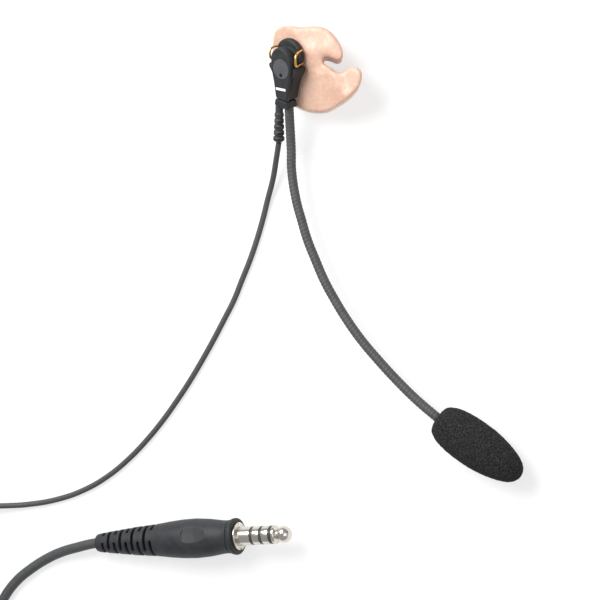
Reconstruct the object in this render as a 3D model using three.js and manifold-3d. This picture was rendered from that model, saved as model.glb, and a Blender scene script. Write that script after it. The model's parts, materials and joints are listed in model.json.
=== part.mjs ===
// Headset microphone: an earphone unit clipped on a custom ear mould, with a gooseneck
// boom, a foam windscreen, and a lead that ends in a four-pole headset plug.
// Everything lies on a table: millimetres, +Z up, +Y from the plug towards the ear.
import * as THREE from 'three';
import { mergeVertices } from 'three/addons/utils/BufferGeometryUtils.js';
import Module from 'manifold-3d';

const wasm = await Module();
wasm.setup();

// ---- driving dimensions ----
const gap = 0.3;                 // kept between any two pieces
const deg = Math.PI / 180;

const head = {
  place: [-39.9, 69.4, 22],      // centre of the port disc
  turn: [20, -17, -6],           // degrees, in the order Z, X, Y
  coverThick: 1.7,
  coverLip: 0.4,                 // of the cover's arch past the neck
  archHeight: 2.9,               // of the arch's centre above the disc's centre
  coverFoot: 12.6,               // from the disc's centre down to the cover's end
  waist: [3.9, 5.5],             // the cover's half width, and how far down it is
  footHalf: [3.1, 2.7],          // the half widths above and at the cover's end
  neckWall: 0.8,                 // around the driver
  neckDepth: 2.4,
  bodyDepth: 4.4,
  wingHalf: 7.2,
  ledge: 0.3,                    // the wings' upper edge
};
const disc = { rim: 0.8, thick: 0.6, pocket: 0.9, hole: 0.9, holeDrop: 2.5 };
const flange = { radius: 6.3, archHeight: 4.0, rise: 3.6, thick: 2.2, foot: 0.9, bevel: 0.4 };
const spout = { radius: 3.0, bore: 1.3, length: 3.8 };
const driver = { radius: 3.4, thick: 2.6, gasketHole: 2.0, gasketThick: 0.4 };
const board = { width: 4.6, length: 6.4, thick: 0.8, below: 1.7 };
const wire = { radius: 0.4, high: 6.4, out: 6.9, back: 5.8, corner: 0.9 };
const wireLow = { left: 2.2, right: 1.4 };       // the lower leg of each loop
const wireFront = { left: 2.1, right: 0.9 };     // how far forward each loop comes
const slot = { clear: 0.35, inset: 1.0 };
const yoke = { left: -4.9, right: 2.9, step: -1.2, short: 1.0, long: 2.4, front: 0.2, back: 6.0 };
const boomSeat = { x: 0.8, depth: 3.0, clear: 0.08, ferrule: 2.0 };
const leadSeat = { x: -3.3, depth: 2, lean: 5 };
const relief = {
  length: 15.9, plain: 3.8, plainRadius: 1.45, ribs: 5, ribFrom: 1.85, ribTo: 2.25, root: 1.35,
};
const mould = { height: 20, edge: 3, bevel: 1, lean: 24, middle: 12, clear: 0.7 };
const ring = { wall: 1.2, length: 2.8 };
const soundTube = { radius: 1.8, bore: 1.0, length: 5 };
const boom = { radius: 1.72, joints: [24, 47, 70, 93, 116], bend: 32, sides: 8, stride: 4 };
const mic = {
  radius: 3.3, wall: 0.4, rearLength: 7.5, frontLength: 7.2, collarRadius: 2.4, collarLength: 2.2,
};
const foam = { length: 38.5, widest: 8.7, cavity: 18.5 };
const thinLead = { radius: 1.1, sides: 8, stride: 5.5 };
const plugLead = { radius: 2.0, sides: 8, stride: 8 };
const joint = { at: [-174.6, -100.1], radius: 3.4, length: 20, nose: 3 };
const coil = { centre: [-207.6, -130.3], middle: 22, across: 3, layers: 2 };
const plug = {
  place: [-126.4, -113.26, 5.05], // end of the boot, where the lead goes in
  heading: 4.4,                  // degrees from +X towards +Y
  rise: 3.7,                     // degrees up from the table
  boot: 28, bootRadius: 3.5, shoulder: 6.2,
  handleEnd: 60.6, bulge: 7.7, bulgeBack: 15.6, endRadius: 6.6,
  dimpleRadius: 5, dimplePast: 1.6, dimpleTurn: 18,
  collarRadius: 7.1, collarThick: 2.2,
  nutRadius: 5.35, nutThick: 0.8, nutSlot: 1.2,
  barrel: 3.56, rodRadius: 1.2,
};

// ---- helpers ----
const V = (x, y, z) => new THREE.Vector3(x, y, z);

function solid(geometry) {
  const bare = geometry.index ? geometry.toNonIndexed() : geometry.clone();
  bare.deleteAttribute('normal');
  bare.deleteAttribute('uv');
  const merged = mergeVertices(bare, 1e-4);
  const corners = Array.from(merged.index.array);
  const triVerts = corners.filter((_, i) => {
    const [a, b, c] = corners.slice(i - (i % 3), i - (i % 3) + 3);
    return a !== b && b !== c && c !== a;      // a lathe leaves empty triangles on its axis
  });
  return new wasm.Manifold(new wasm.Mesh({
    numProp: 3,
    vertProperties: new Float32Array(merged.attributes.position.array),
    triVerts: new Uint32Array(triVerts),
  }));
}

function geometryOf(manifold) {
  const mesh = manifold.getMesh();
  const geometry = new THREE.BufferGeometry();
  geometry.setAttribute('position', new THREE.BufferAttribute(new Float32Array(mesh.vertProperties), 3));
  geometry.setIndex(new THREE.BufferAttribute(new Uint32Array(mesh.triVerts), 1));
  return geometry;
}

const cut = (base, ...tools) => geometryOf(tools.reduce((rest, t) => rest.subtract(solid(t)), solid(base)));
const join = (base, ...more) => geometryOf(more.reduce((all, m) => all.add(solid(m)), solid(base)));

// a plate of the outline, from depth `front` back to depth `back` behind the face plane
function plate(outline, front, back, bevel = 0, curveSegments = 8) {
  const geometry = new THREE.ExtrudeGeometry(outline, {
    depth: back - front - 2 * bevel,
    bevelEnabled: bevel > 0,
    bevelThickness: bevel,
    bevelSize: bevel,
    bevelOffset: -bevel,
    bevelSegments: 1,
    curveSegments,
  });
  return geometry.translate(0, 0, -back + bevel);
}

function block(x0, x1, y0, y1, z0, z1) {
  return new THREE.BoxGeometry(x1 - x0, y1 - y0, z1 - z0)
    .translate((x0 + x1) / 2, (y0 + y1) / 2, (z0 + z1) / 2);
}

// a round piece about the Z axis, from depth `front` to depth `back`
function roundZ(radius, front, back, sides = 20) {
  return new THREE.CylinderGeometry(radius, radius, back - front, sides)
    .rotateX(Math.PI / 2).translate(0, 0, -(front + back) / 2);
}

// a turned piece about +Y: the profile is [radius, height] points, closed on the axis
function turned(profile, sides = 16) {
  return new THREE.LatheGeometry(profile.map(([r, y]) => new THREE.Vector2(r, y)), sides);
}

// a turned piece with a bore: the profile closes on itself
const turnedRing = (outer, inner, from, to, sides = 16) =>
  turned([[inner, from], [outer, from], [outer, to], [inner, to], [inner, from]], sides);

function circle(radius, sides) {
  const shape = new THREE.Shape();
  for (let i = 0; i < sides; i++) {
    const angle = (2 * Math.PI * i) / sides;
    const [x, y] = [radius * Math.cos(angle), radius * Math.sin(angle)];
    if (i) shape.lineTo(x, y); else shape.moveTo(x, y);
  }
  shape.closePath();
  return shape;
}

// the stretch of a curve between two lengths along it, as a round bar
function bar(curve, from, to, radius, sides, stride) {
  const total = curve.getLength();
  const steps = Math.max(2, Math.ceil((to - from) / stride));
  const points = Array.from({ length: steps + 1 }, (_, i) =>
    curve.getPointAt(Math.min(1, (from + ((to - from) * i) / steps) / total)));
  return new THREE.ExtrudeGeometry(circle(radius, sides), {
    steps, bevelEnabled: false, extrudePath: new THREE.CatmullRomCurve3(points),
  });
}

const smooth = (points) => {
  const curve = new THREE.CatmullRomCurve3(points.map((p) => V(...p)), false, 'centripetal');
  curve.arcLengthDivisions = 800;
  return curve;
};

// ---- materials ----
const finish = (color, roughness, metalness = 0) =>
  new THREE.MeshStandardMaterial({ color, roughness, metalness });
const black = finish(0x3c3e40, 0.55);
const grey = finish(0x66686b, 0.5);
const gold = finish(0xd9a441, 0.3, 1);
const nickel = finish(0xd8d2c4, 0.25, 1);
const flesh = finish(0xe8c3ab, 0.45);
const rib = finish(0x5c5e5f, 0.5);
const jacket = finish(0x55575a, 0.5);
const sponge = finish(0x2a2b2c, 0.95);
const soft = finish(0x2c2d2f, 0.8);
const insulator = finish(0x3f4440, 0.4);
const green = finish(0x2e5a3a, 0.6);

const part = new THREE.Group();
function piece(name, geometry, material, parent = part) {
  const mesh = new THREE.Mesh(geometry, material);
  mesh.name = name;
  parent.add(mesh);
  return mesh;
}

// a group whose +Y axis starts at `from` and points along `way`
function along(from, way) {
  const group = new THREE.Group();
  group.position.set(...from);
  group.quaternion.setFromUnitVectors(V(0, 1, 0), V(...way).normalize());
  part.add(group);
  return group;
}

// ---- the earphone unit: x to its right, y up its length, z out of its face ----
const unit = new THREE.Group();
unit.position.set(...head.place);
unit.rotation.set(head.turn[0] * deg, head.turn[1] * deg, head.turn[2] * deg, 'ZXY');
part.add(unit);
unit.updateMatrixWorld(true);
const inWorld = (x, y, depth) => V(x, y, -depth).applyMatrix4(unit.matrixWorld);

const coverBack = head.coverThick;
const bodyFront = coverBack + gap;
const neckBack = bodyFront + head.neckDepth;
const bodyBack = bodyFront + head.bodyDepth;
const flangeFront = neckBack + gap;
const flangeBack = flangeFront + flange.thick;

// the neck holds the driver, the cover's arch laps the neck, and the disc sits inside the arch
const neckRadius = driver.radius + gap + head.neckWall;
const archRadius = neckRadius + head.coverLip;
const discRadius = archRadius - disc.rim;

function coverOutline() {
  const r = archRadius;
  const foot = head.coverFoot;
  const [waistHalf, waistDrop] = head.waist;
  const [footHigh, footLow] = head.footHalf;
  const shape = new THREE.Shape();
  shape.moveTo(r, -1);
  shape.lineTo(r, head.archHeight);
  shape.absarc(0, head.archHeight, r, 0, Math.PI, false);
  shape.lineTo(-r, -1);
  shape.lineTo(-waistHalf, -waistDrop);
  shape.lineTo(-footHigh, 1 - foot);
  shape.lineTo(-footLow, -foot);
  shape.lineTo(footLow, -foot);
  shape.lineTo(footHigh, 1 - foot);
  shape.lineTo(waistHalf, -waistDrop);
  shape.closePath();
  return shape;
}

function bodyOutline() {
  const w = head.wingHalf;
  const top = head.ledge;
  const foot = head.coverFoot + gap;
  const half = [
    [w, top], [w, top - 0.9], [w - 1.5, top - 2.4], [3.9, top - 5.2], [3.4, top - 8.5], [2.9, -foot],
  ];
  const shape = new THREE.Shape();
  shape.moveTo(...half[0]);
  for (const [x, y] of half.map(([x, y]) => [-x, y])) shape.lineTo(x, y);
  for (const [x, y] of half.slice(1).reverse()) shape.lineTo(x, y);
  shape.closePath();
  return shape;
}

function neckOutline() {
  const { archHeight, ledge } = head;
  const shape = new THREE.Shape();
  shape.moveTo(neckRadius, ledge - 2);
  shape.absarc(0, archHeight, neckRadius, 0, Math.PI, false);
  shape.lineTo(-neckRadius, ledge - 2);
  shape.closePath();
  return shape;
}

function archOutline(radius, rise, foot, curve) {
  const from = Math.asin((foot - rise) / radius);
  const shape = new THREE.Shape();
  for (let i = 0; i <= curve; i++) {
    const angle = from + ((Math.PI - 2 * from) * i) / curve;
    const [x, y] = [radius * Math.cos(angle), rise + radius * Math.sin(angle)];
    if (i) shape.lineTo(x, y); else shape.moveTo(x, y);
  }
  shape.closePath();
  return shape;
}

piece('front_cover', cut(
  plate(coverOutline(), 0, coverBack, 0.4),
  roundZ(discRadius + gap, -1, disc.pocket),
), black, unit);

piece('sound_port_disc', cut(
  roundZ(discRadius, disc.pocket - gap - disc.thick, disc.pocket - gap),
  roundZ(disc.hole, -1, 2, 10).translate(0, -disc.holeDrop, 0),
), grey, unit);

const boardFloor = bodyFront + gap + board.thick + gap;
const boardTop = head.archHeight - driver.radius - board.below;
piece('rear_housing', cut(
  join(
    plate(bodyOutline(), bodyFront, bodyBack, 0.4),
    plate(neckOutline(), bodyFront, neckBack),
  ),
  roundZ(driver.radius + gap, bodyFront - 1, neckBack + 3).translate(0, head.archHeight, 0),
  block(-board.width / 2 - gap, board.width / 2 + gap, boardTop - board.length - gap, boardTop + 2 * gap,
    -boardFloor, 0),
), black, unit);

piece('circuit_board', block(
  -board.width / 2, board.width / 2, boardTop - board.length, boardTop,
  gap - boardFloor, gap - boardFloor + board.thick,
), green, unit);

const driverFront = bodyFront + gap;
const driverBack = driverFront + driver.thick;
piece('driver_can', roundZ(driver.radius, driverFront, driverBack)
  .translate(0, head.archHeight, 0), nickel, unit);

const gasketFront = driverBack + gap;
const gasketBack = gasketFront + driver.gasketThick;
piece('driver_gasket', cut(
  roundZ(driver.radius, gasketFront, gasketBack),
  roundZ(driver.gasketHole, gasketFront - 1, gasketBack + 1),
).translate(0, head.archHeight, 0), soft, unit);

const slotHalf = wire.radius + slot.clear;
const slotInner = wire.back - slot.inset;
const slots = [['left', -9, -slotInner], ['right', slotInner, 9]].flatMap(([side, x0, x1]) =>
  [wireLow[side], wire.high].map((y) =>
    block(x0, x1, y - slotHalf, y + slotHalf, -flangeBack - 1, -flangeFront + 1)));
piece('coupler_flange', cut(
  plate(archOutline(flange.radius, flange.archHeight, flange.foot, 20), flangeFront, flangeBack,
    flange.bevel),
  roundZ(driver.radius + gap, flangeFront - 1, gasketBack + gap).translate(0, head.archHeight, 0),
  roundZ(spout.bore, 0, flangeBack + 1, 12).translate(0, flange.rise, 0),
  block(-9, 9, -5, flange.foot + 0.01, -flangeBack - 1, -flangeFront + 1),
  ...slots,
), black, unit);

const spoutFront = flangeBack + gap;
const spoutBack = spoutFront + spout.length;
piece('sound_spout', cut(
  roundZ(spout.radius, spoutFront, spoutBack),
  roundZ(spout.bore, 0, spoutBack + 1, 12),
).translate(0, flange.rise, 0), black, unit);

for (const [way, side] of [[-1, 'left'], [1, 'right']]) {
  const { high, out, back, corner } = wire;
  const low = wireLow[side];
  const front = wireFront[side];
  const leg = (y) => [[back, y, -back], [(back + out) / 2 + 0.1, y, -(back + front) / 2]];
  const half = [...leg(low), [out, low, -front - corner], [out, low + corner * 0.3, -front - corner * 0.3],
    [out, low + corner, -front]];
  const points = [...half, ...half.map(([x, y, z]) => [x, low + high - y, z]).reverse()];
  const path = smooth(points.map(([x, y, z]) => [way * x, y, z]));
  piece(`latch_wire_${side}`, bar(path, 0, path.getLength(), wire.radius, 6, 1.1), gold, unit);
}

const yokeTop = -head.coverFoot - 2 * gap;
const shortFoot = yokeTop - yoke.short;
const longFoot = yokeTop - yoke.long;
const seatRadius = boom.radius + boomSeat.clear;
piece('yoke_boot', cut(
  join(
    block(yoke.left, yoke.step + 0.5, shortFoot, yokeTop, -yoke.back, -yoke.front),
    block(yoke.step, yoke.right, longFoot, yokeTop, -yoke.back, -yoke.front),
  ),
  new THREE.CylinderGeometry(seatRadius, seatRadius, 9, 12).translate(boomSeat.x, longFoot, -boomSeat.depth),
), black, unit);
piece('boom_ferrule', turned([[0, 0], [seatRadius - gap, 0], [seatRadius - gap, boomSeat.ferrule],
  [0, boomSeat.ferrule]], 10).translate(boomSeat.x, longFoot, -boomSeat.depth), nickel, unit);

// the strain relief: a plain sleeve, then ribs that grow towards its mouth
const reliefGroup = new THREE.Group();
reliefGroup.position.set(leadSeat.x, shortFoot - gap, -leadSeat.depth);
reliefGroup.rotation.z = Math.PI - leadSeat.lean * deg;
unit.add(reliefGroup);
const reliefProfile = [[0, 0], [relief.plainRadius, 0], [relief.plainRadius, relief.plain]];
const ribPitch = (relief.length - relief.plain) / relief.ribs;
for (let i = 0; i < relief.ribs; i++) {
  const radius = relief.ribFrom + ((relief.ribTo - relief.ribFrom) * i) / (relief.ribs - 1);
  const start = relief.plain + ribPitch * i;
  reliefProfile.push([relief.root, start + 0.25 * ribPitch], [radius, start + 0.4 * ribPitch],
    [radius, start + ribPitch - (i === relief.ribs - 1 ? 0 : 0.15)]);
}
reliefProfile.push([0, relief.length]);
piece('strain_relief', turned(reliefProfile, 10), black, reliefGroup);

// ---- the custom ear mould, behind the unit ----
const ringInner = spout.radius + gap;
const ringOuter = ringInner + ring.wall;
const ringFront = flangeBack + mould.clear + gap;
piece('mould_ring', turnedRing(ringOuter, ringInner, ringFront, ringFront + ring.length, 16)
  .rotateX(-Math.PI / 2).translate(0, flange.rise, 0), finish(0xe6e0d8, 0.4), unit);

const tubeFront = spoutBack + 2 * gap;
piece('sound_tube', turnedRing(soundTube.radius, soundTube.bore, tubeFront, tubeFront + soundTube.length, 10)
  .rotateX(-Math.PI / 2).translate(0, flange.rise, 0), finish(0xcfd4d6, 0.3), unit);

const mouldOutline = [
  [-47.5, 79.7], [-46.6, 84.1], [-43.8, 85.7], [-35.6, 85.2], [-28.3, 85.2], [-23.2, 82.7], [-20.2, 78.9],
  [-18.4, 74.3], [-19.6, 71.7], [-23.2, 72.9], [-26.2, 73.5], [-27.6, 71.9], [-24.1, 69.7], [-19.8, 67.3],
  [-16.8, 69], [-13.9, 69.7], [-11.2, 68.1], [-11, 64.3], [-15.4, 58.5], [-20.1, 55.7], [-25.1, 53.4],
  [-31.6, 53.7], [-37.6, 55.7], [-43.1, 59.7], [-46.6, 66.7], [-47.6, 73.7],
];
function mouldBody() {
  const outline = new THREE.CatmullRomCurve3(mouldOutline.map(([x, y]) => V(x, y, 0)), true, 'centripetal');
  const corners = outline.getPoints(64).slice(0, -1).reverse();
  const shape = new THREE.Shape(corners.map((p) => new THREE.Vector2(p.x, p.y)));
  const { bevel, edge, height, lean, middle } = mould;
  const body = new THREE.ExtrudeGeometry(shape, {
    depth: height - 2 * edge, bevelEnabled: true, bevelThickness: edge, bevelSize: bevel,
    bevelOffset: -bevel, bevelSegments: 2,
  }).translate(0, 0, edge - middle);
  const slant = new THREE.Matrix4().makeShear(0, 0, 0, 0, Math.tan(lean * deg), 0);
  return body.applyMatrix4(slant).translate(0, 0, middle);
}
const inUnit = (geometry) => geometry.applyMatrix4(unit.matrixWorld);
piece('ear_mould', cut(
  mouldBody(),
  inUnit(block(-60, 60, -60, 60, -flangeBack - mould.clear, 60)),
  inUnit(roundZ(ringOuter + gap, 0, spoutBack + gap).translate(0, flange.rise, 0)),
  inUnit(roundZ(soundTube.radius + gap, 0, 60, 12).translate(0, flange.rise, 0)),
), flesh);

// ---- the gooseneck boom ----
const boomStart = inWorld(boomSeat.x, longFoot - gap, boomSeat.depth);
const boomPath = smooth([
  boomStart.toArray(), [-40.6, 46.7, 10.9], [-41.2, 39.2, 9.1], [-41.2, 31.7, 8.7], [-39.3, 20.2, 8.7],
  [-37.1, 12.7, 8.7], [-34.6, 5, 8.7], [-31.3, -2.6, 8.7], [-27.7, -10.3, 8.7], [-23.3, -17.8, 8.7],
  [-18.3, -25.3, 8.7], [-12.4, -32.9, 8.7], [-5.6, -40.3, 8.7], [1.8, -47.7, 8.7], [10.1, -55.2, 8.7],
  [18.8, -62, 8.7],
]);
const boomLength = boomPath.getLength();
const halfGap = boom.radius * Math.tan((boom.bend / 2) * deg) + 0.05;   // room for the full bend
const stops = [0, ...boom.joints, boomLength];
for (let i = 0; i + 1 < stops.length; i++) {
  const from = i ? stops[i] + halfGap : 0;
  const to = i + 2 < stops.length ? stops[i + 1] - halfGap : boomLength;
  piece(i ? `boom_link_${i}` : 'boom_base',
    bar(boomPath, from, to, boom.radius, boom.sides, boom.stride), rib);
}

// ---- the microphone and its windscreen, along the boom's last direction ----
const micWay = V(0.843, -0.538, 0).normalize();
const micStart = boomPath.getPointAt(1).addScaledVector(micWay, gap);
const micGroup = along(micStart.toArray(), micWay.toArray());
piece('boom_tip_collar', turned([[0, 0], [mic.collarRadius, 0], [mic.collarRadius, mic.collarLength],
  [0, mic.collarLength]], 14), black, micGroup);
const rearFrom = mic.collarLength + gap;
const rearTo = rearFrom + mic.rearLength;
const bore = mic.radius - mic.wall;
piece('mic_housing_rear', turned([[0, rearFrom], [mic.radius, rearFrom], [mic.radius, rearTo], [bore, rearTo],
  [bore, rearFrom + 1], [0, rearFrom + 1]], 14), black, micGroup);
const frontFrom = rearTo + gap;
const frontTo = frontFrom + mic.frontLength;
piece('mic_housing_front', turnedRing(mic.radius, bore, frontFrom, frontTo, 14), black, micGroup);
const capsule = { radius: bore - gap, from: rearTo - 1.5, to: rearTo + 3.5 };
piece('mic_capsule', turned([[0, capsule.from], [capsule.radius, capsule.from], [capsule.radius, capsule.to],
  [0, capsule.to]], 14), nickel, micGroup);
const gasketFrom = capsule.to + gap;
piece('mic_gasket', turnedRing(capsule.radius, capsule.radius - 1, gasketFrom, gasketFrom + 0.8, 14),
  soft, micGroup);
piece('mic_grille', turned([[0, frontTo - 1], [capsule.radius, frontTo - 1], [capsule.radius, frontTo - 0.4],
  [0, frontTo - 0.4]], 14), nickel, micGroup);

const foamSkin = [[0, 4.6], [0.05, 5.5], [0.14, 7], [0.28, 8.1], [0.45, 8.7], [0.62, 8.6], [0.76, 7.9],
  [0.88, 6.4], [0.96, 3.8]];
const foamFrom = mic.collarLength / 2;
const cavity = mic.radius + gap;
piece('windscreen', turned([
  [cavity, foamFrom],
  ...foamSkin.map(([t, r]) => [(r * foam.widest) / 8.7, foamFrom + t * (foam.length - foamFrom)]),
  [0, foam.length], [0, foam.cavity], [cavity, foam.cavity], [cavity, foamFrom],
], 18), sponge, micGroup);

// ---- the thin lead, from the strain relief to the inline junction ----
reliefGroup.updateMatrixWorld(true);
const leadStart = V(0, relief.length + gap, 0).applyMatrix4(reliefGroup.matrixWorld);
const thinPath = smooth([
  leadStart.toArray(), [-49.2, 35.7, 5.4], [-51.5, 28.7, 3.2], [-54.3, 21.1, 1.8], [-56.8, 13, 1.2],
  [-59.3, 5.3, 1.15], [-62.2, -2.4, 1.15], [-65.6, -10.1, 1.15], [-69, -17.8, 1.15], [-73.3, -25.5, 1.15],
  [-77.8, -33.3, 1.15], [-82.6, -41.1, 1.15], [-87.7, -48.9, 1.15], [-93.4, -56.8, 1.15],
  [-99.6, -64.7, 1.15], [-106.6, -72.5, 1.15], [-114.8, -80.3, 1.15], [-124.1, -87.3, 1.15],
  [-134.6, -92.9, 1.15], [-146.6, -96.9, 1.15], [-159.6, -99.2, 1.6], [-168.6, -99.9, 2.6],
  [-174.6, -100.1, 3.4],
]);
piece('thin_lead', bar(thinPath, 0, thinPath.getLength(), thinLead.radius, thinLead.sides, thinLead.stride),
  jacket);

// ---- the inline junction, where the thin lead meets the plug's lead ----
const jointGroup = along([joint.at[0] - gap, joint.at[1], joint.radius], [-1, -0.02, 0]);
piece('cable_joint', turned([[0, 0], [thinLead.radius + 0.8, 0], [joint.radius, joint.nose],
  [joint.radius, joint.length - joint.nose], [plugLead.radius + 0.6, joint.length], [0, joint.length]], 12),
  black, jointGroup);
jointGroup.updateMatrixWorld(true);
const feedStart = V(0, joint.length + gap, 0).applyMatrix4(jointGroup.matrixWorld);
piece('plug_lead_feed', bar(smooth([feedStart.toArray(), [-197, -100.5, 3.6], [-199.8, -100.3, 4.1]]), 0, 4.4,
  plugLead.radius, plugLead.sides, 2.2), jacket);

// ---- the coil that holds the length put away ----
const turnHalf = coil.across * plugLead.radius;
piece('lead_coil', turned([
  [coil.middle - turnHalf, 0], [coil.middle + turnHalf, 0],
  [coil.middle + turnHalf, 2 * coil.layers * plugLead.radius],
  [coil.middle - turnHalf, 2 * coil.layers * plugLead.radius], [coil.middle - turnHalf, 0],
], 28).rotateX(Math.PI / 2).translate(coil.centre[0], coil.centre[1], 0), jacket);

// ---- the plug ----
const plugWay = V(
  Math.cos(plug.rise * deg) * Math.cos(plug.heading * deg),
  Math.cos(plug.rise * deg) * Math.sin(plug.heading * deg),
  Math.sin(plug.rise * deg),
);
const plugGroup = along(plug.place, plugWay.toArray());
const leadEnd = V(...plug.place).addScaledVector(plugWay, -gap);
const plugPath = smooth([
  [-189.6, -156.5, 2.05], [-182.6, -154.1, 2.05], [-176.9, -148.9, 2.05], [-173, -142.2, 2.05],
  [-169, -135.2, 2.05], [-163.8, -129.3, 2.05], [-158.6, -125.3, 2.05], [-151.4, -120.9, 2.1],
  [-144.1, -117.7, 2.8], [-136.1, -115.4, 4.1], leadEnd.toArray(),
]);
piece('plug_lead', bar(plugPath, 0, plugPath.getLength(), plugLead.radius, plugLead.sides, plugLead.stride),
  jacket);

const { boot, handleEnd } = plug;
const bulgeAt = handleEnd - plug.bulgeBack;
const bootRibs = [];
for (let i = 0; i < 5; i++) {
  const start = (boot * i) / 5;
  const end = (boot * (i + 1)) / 5;
  const radius = plug.bootRadius + ((plug.shoulder - plug.bootRadius) * i) / 5;
  bootRibs.push([radius, start], [radius + 0.2, end - 1.6], [radius - 0.5, end - 1.2]);
}
const dimple = new THREE.CylinderGeometry(plug.dimpleRadius, plug.dimpleRadius, 4, 20).rotateX(Math.PI / 2)
  .translate(0, bulgeAt + plug.dimplePast, plug.bulge + 1.4).rotateY(-plug.dimpleTurn * deg);
const swell = (share) => boot + share * (bulgeAt - boot);
piece('plug_handle', cut(turned([
  [0, 0], ...bootRibs, [plug.shoulder, boot], [plug.bulge - 0.75, swell(0.3)], [plug.bulge - 0.2, swell(0.65)],
  [plug.bulge, bulgeAt], [plug.bulge - 0.4, handleEnd - 9.6], [plug.endRadius - 0.15, handleEnd - 3.7],
  [plug.endRadius, handleEnd], [0, handleEnd],
], 20), dimple), black, plugGroup);

let at = handleEnd + gap;
piece('plug_collar', turned([[0, at], [plug.collarRadius - 0.4, at], [plug.collarRadius, at + 0.4],
  [plug.collarRadius, at + plug.collarThick], [0, at + plug.collarThick]], 20), black, plugGroup);
at += plug.collarThick + gap;
const rodStart = at;
const nutFront = at + plug.nutThick;
const nutSlots = [-1, 1].map((side) => new THREE.BoxGeometry(2.4, 1.2, plug.nutSlot)
  .translate(side * plug.nutRadius, nutFront, 0));
piece('plug_nut', cut(turnedRing(plug.nutRadius, plug.barrel + gap, at, nutFront, 20), ...nutSlots),
  nickel, plugGroup);

// the contacts and the insulators between them, strung on the centre rod
const contacts = [
  ['plug_sleeve', 5.8, nickel], ['insulator_ring_1', 1.4, insulator], ['ring_contact_1', 2.05, nickel],
  ['insulator_ring_2', 1.4, insulator], ['ring_contact_2', 2.05, nickel], ['insulator_ring_3', 1.4, insulator],
];
for (const [name, length, material] of contacts) {
  piece(name, turnedRing(plug.barrel, plug.rodRadius + gap, at, at + length, 16), material, plugGroup);
  at += length + gap;
}
const tipRadius = plug.barrel - 0.1;
piece('plug_tip', turned([[0, at], [tipRadius, at], [tipRadius, at + 0.9], [2.2, at + 1.6], [3.2, at + 3.9],
  [3, at + 5.1], [2.1, at + 6.3], [0, at + 6.9]], 16), nickel, plugGroup);
piece('plug_rod', turned([[0, rodStart], [plug.rodRadius, rodStart], [plug.rodRadius, at - gap],
  [0, at - gap]], 8), nickel, plugGroup);

export default part;
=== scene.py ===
import json
import math
import bpy
from mathutils import Euler, Matrix, Vector


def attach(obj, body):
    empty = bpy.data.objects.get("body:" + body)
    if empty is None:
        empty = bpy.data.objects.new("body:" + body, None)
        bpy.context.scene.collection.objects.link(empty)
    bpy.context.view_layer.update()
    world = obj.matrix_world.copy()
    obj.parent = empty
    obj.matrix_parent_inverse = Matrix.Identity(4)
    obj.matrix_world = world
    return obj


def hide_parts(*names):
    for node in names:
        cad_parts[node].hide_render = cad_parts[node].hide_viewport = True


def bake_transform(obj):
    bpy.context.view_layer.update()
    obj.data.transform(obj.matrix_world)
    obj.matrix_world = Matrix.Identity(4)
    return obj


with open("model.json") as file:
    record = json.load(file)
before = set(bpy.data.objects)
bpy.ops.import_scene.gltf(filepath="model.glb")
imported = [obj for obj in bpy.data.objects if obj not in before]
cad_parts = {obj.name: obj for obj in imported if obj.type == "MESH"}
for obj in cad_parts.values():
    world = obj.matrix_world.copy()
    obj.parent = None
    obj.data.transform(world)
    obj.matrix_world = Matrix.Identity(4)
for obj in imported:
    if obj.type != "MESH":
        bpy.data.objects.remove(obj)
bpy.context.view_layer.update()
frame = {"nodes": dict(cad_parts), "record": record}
scene = bpy.context.scene
mm = 0.001
weld = 0.000002  # metres, for points that become one
hair = 0.001  # millimetres, for points that count as in one place
print("frame loaded")


# shapes

def vec(x, y, z):  # millimetres to a point in metres
    return Vector((x, y, z)) * mm


def pickOut(obj):  # the only selected object, and the active one
    bpy.ops.object.select_all(action="DESELECT")
    obj.select_set(True)
    bpy.context.view_layer.objects.active = obj


def editing(obj):
    pickOut(obj)
    bpy.ops.object.mode_set(mode="EDIT")
    bpy.ops.mesh.select_all(action="SELECT")


def doneEditing():
    bpy.ops.object.mode_set(mode="OBJECT")


def tidyNormals(obj):
    editing(obj)
    bpy.ops.mesh.remove_doubles(threshold=weld)
    bpy.ops.mesh.normals_make_consistent(inside=False)
    doneEditing()


def addModifier(obj, kind, **settings):
    modifier = obj.modifiers.new(kind.lower(), kind)
    for key, value in settings.items():
        setattr(modifier, key, value)


def applyModifiers(obj):
    pickOut(obj)
    for modifier in list(obj.modifiers):
        bpy.ops.object.modifier_apply(modifier=modifier.name)


def place(obj, matrix):  # into the frame, with the object left at the origin
    obj.matrix_world = matrix
    pickOut(obj)
    bpy.ops.object.transform_apply(location=True, rotation=True, scale=True)


def smooth(obj, angle):
    pickOut(obj)
    bpy.ops.object.shade_smooth_by_angle(angle=math.radians(angle))


def joined(objects, name):
    pickOut(objects[0])
    for obj in objects[1:]:
        obj.select_set(True)
    bpy.ops.object.join()
    objects[0].name = name
    return objects[0]


def copyOf(obj, name):
    twin = obj.copy()
    twin.data = obj.data.copy()
    twin.name = name
    bpy.context.collection.objects.link(twin)
    return twin


def chain(name, points, close=False):  # a line of vertices, extruded one from the next
    bpy.ops.object.select_all(action="DESELECT")
    bpy.ops.mesh.primitive_plane_add(size=mm)
    obj = bpy.context.object
    obj.name = name
    editing(obj)
    bpy.ops.mesh.select_mode(type="VERT")
    bpy.ops.mesh.select_all(action="SELECT")
    bpy.ops.mesh.merge(type="CENTER")
    here = Vector(points[0])
    bpy.ops.transform.translate(value=here)
    for point in points[1:]:
        step = Vector(point) - here
        bpy.ops.mesh.extrude_region_move(TRANSFORM_OT_translate={"value": step})
        here = Vector(point)
    bpy.ops.mesh.select_all(action="SELECT")
    if close:
        bpy.ops.mesh.edge_face_add()
    doneEditing()
    return obj


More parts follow.
